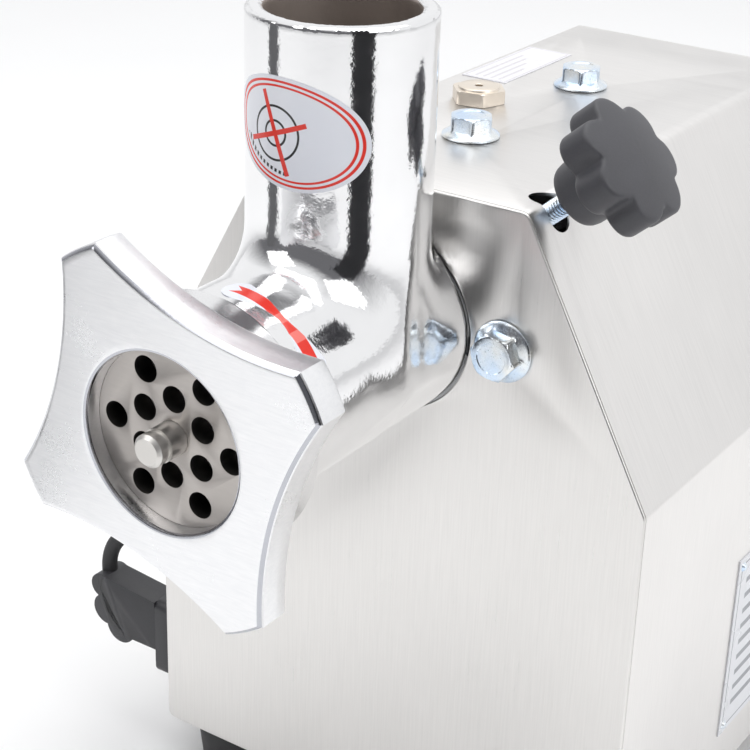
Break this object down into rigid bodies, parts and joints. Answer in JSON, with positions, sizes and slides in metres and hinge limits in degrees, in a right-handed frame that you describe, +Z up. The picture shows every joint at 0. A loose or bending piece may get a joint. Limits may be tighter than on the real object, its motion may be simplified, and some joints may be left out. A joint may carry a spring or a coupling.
{
  "type": "electric meat grinder",
  "caption": "Bench-top electric meat grinder with a sheet steel case, plated grinding head, feed tube, four-pointed ring nut, hole plate, clamp knob and inner gear drive.",
  "frame": {"origin": "on the bench, below the middle of the bounding box", "axes": "+X to the right seen from the plate, +Y from the plate to the back of the case, +Z up along the feed tube"},
  "size_m": [0.2706, 0.3938, 0.368],
  "materials": {
    "brushed_case": "brushed stainless sheet",
    "bright_plate": "bright tin plating over a cast surface",
    "ground_steel": "ground steel",
    "zinc": "bright zinc plating, slightly blue",
    "brass_tone": "dull nickel-brass",
    "black_plastic": "matte moulded plastic",
    "black_rubber": "matte rubber",
    "cast_metal": "die-cast aluminium",
    "dark_steel": "oiled machined steel",
    "copper": "enamelled copper windings",
    "bronze": "sintered bronze",
    "white_label": "white printed vinyl",
    "pale_plastic": "pale moulded plastic",
    "painted_shell": "grey enamel",
    "gasket_paper": "gasket paper"
  },
  "bodies": {
    "frame": {"front_panel": "brushed_case", "case_wrap": "brushed_case", "rear_panel": "brushed_case", "base_plate": "brushed_case", "rubber_feet": "black_rubber", "foot_screws": "zinc", "rear_screws": "zinc", "top_bolts": "zinc", "front_bolts": "zinc", "oil_plug": "brass_tone", "rating_plate": "white_label", "rating_rivets": "zinc", "roof_label": "white_label", "hub_socket": "cast_metal", "socket_screws": "dark_steel", "gearbox_housing": "cast_metal", "gearbox_cover": "cast_metal", "cover_gasket": "gasket_paper", "cover_screws": "dark_steel", "output_bearings": "dark_steel", "layshaft_bearings": "dark_steel", "motor_bearings": "dark_steel", "output_seal": "black_rubber", "motor_shell": "painted_shell", "stator_core": "dark_steel", "stator_windings": "copper", "front_end_shield": "cast_metal", "rear_end_shield": "cast_metal", "motor_bolts": "zinc", "fan_cowl": "black_plastic", "motor_cradle": "brushed_case", "run_capacitor": "pale_plastic", "terminal_block": "pale_plastic", "mains_gland": "black_plastic", "switch_base": "black_plastic", "switch_body": "black_plastic", "switch_screws": "zinc", "lead_gland": "black_plastic", "switch_lead": "black_rubber"},
    "rotor": {"motor_shaft": "dark_steel", "rotor_core": "dark_steel", "cooling_fan": "black_plastic"},
    "layshaft_set": {"layshaft": "dark_steel", "layshaft_gear": "dark_steel"},
    "output_set": {"output_shaft": "dark_steel", "output_gear": "dark_steel"},
    "head": {"head_body": "bright_plate", "hole_plate": "ground_steel", "plate_key": "dark_steel", "tube_label": "white_label", "barrel_label": "white_label", "rear_bush": "bronze"},
    "worm_set": {"worm": "bright_plate", "thrust_washer": "pale_plastic", "cross_knife": "ground_steel"},
    "nut": {"ring_nut": "bright_plate"},
    "clamp": {"clamp_knob": "black_plastic", "clamp_stud": "zinc"},
    "rocker": {"switch_rocker": "black_plastic"}
  },
  "joints": [
    {"name": "rotor_spin", "type": "hinge", "parent": "frame", "child": "rotor", "pos_m": [0.02375, 0.04512, 0.1395], "axis": [0, 1, 0], "continuous": true},
    {"name": "layshaft_spin", "type": "hinge", "parent": "frame", "child": "layshaft_set", "pos_m": [0.02375, 0.12812, 0.192], "axis": [0, 1, 0], "continuous": true},
    {"name": "output_spin", "type": "hinge", "parent": "frame", "child": "output_set", "pos_m": [0.02375, 0.06813, 0.246], "axis": [0, 1, 0], "continuous": true},
    {"name": "head_slide", "type": "slide", "parent": "frame", "child": "head", "axis": [0, -1, 0], "range_m": [0, 0.062]},
    {"name": "worm_spin", "type": "hinge", "parent": "head", "child": "worm_set", "pos_m": [0.02375, -0.11188, 0.246], "axis": [0, 1, 0], "continuous": true},
    {"name": "ring_nut_turn", "type": "hinge", "parent": "head", "child": "nut", "pos_m": [0.02375, -0.17388, 0.246], "axis": [0, -1, 0], "range_deg": [0, 1080]},
    {"name": "clamp_knob_turn", "type": "hinge", "parent": "frame", "child": "clamp", "pos_m": [0.06903, -0.04537, 0.28536], "axis": [0.7547, 0, 0.6561], "range_deg": [0, 720]},
    {"name": "switch_rocker_tilt", "type": "hinge", "parent": "frame", "child": "rocker", "pos_m": [-0.12825, -0.04888, 0.0625], "axis": [0, 1, 0], "range_deg": [-8, 8]}
  ],
  "couplings": [
    {"joint": "layshaft_spin", "follows": "rotor_spin", "ratio": -0.34615},
    {"joint": "output_spin", "follows": "rotor_spin", "ratio": 0.12115},
    {"joint": "worm_spin", "follows": "rotor_spin", "ratio": 0.12115}
  ]
}
